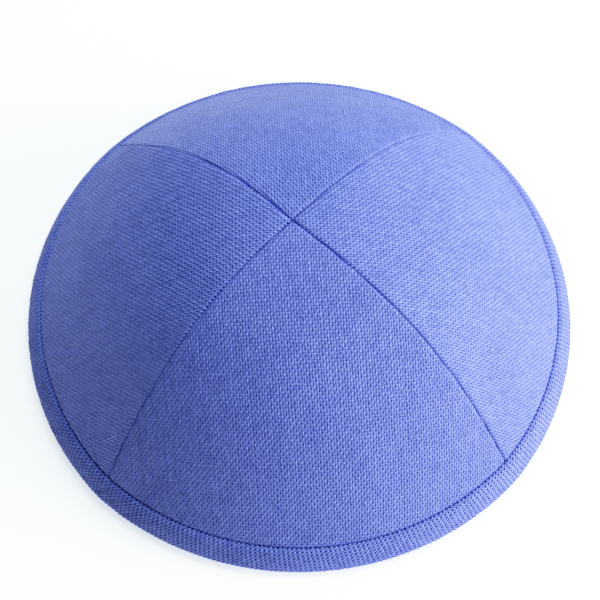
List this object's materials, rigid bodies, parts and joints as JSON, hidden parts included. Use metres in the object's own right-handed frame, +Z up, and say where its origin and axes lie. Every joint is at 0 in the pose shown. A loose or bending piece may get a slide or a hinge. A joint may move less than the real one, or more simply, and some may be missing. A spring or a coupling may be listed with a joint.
{
  "type": "kippah skullcap",
  "caption": "Shallow round cloth skullcap sewn from triangular linen panels that meet at the crown, with a bound rim; worn on the crown of the head.",
  "frame": {"origin": "centre of the rim, on the surface that the rim rests on", "axes": "+Z up through the crown, -Y forwards out of the front panel, +X to the wearer's left"},
  "size_m": [0.168, 0.168, 0.0533],
  "materials": {
    "panel_linen": "matte plain-weave linen, periwinkle blue, slubby yarn",
    "band_linen": "the same linen cut on the bias and folded as a binding"
  },
  "bodies": {
    "root": {"panel_front": "panel_linen", "panel_right": "panel_linen", "panel_back": "panel_linen", "panel_left": "panel_linen", "rim_band": "band_linen"}
  },
  "joints": []
}
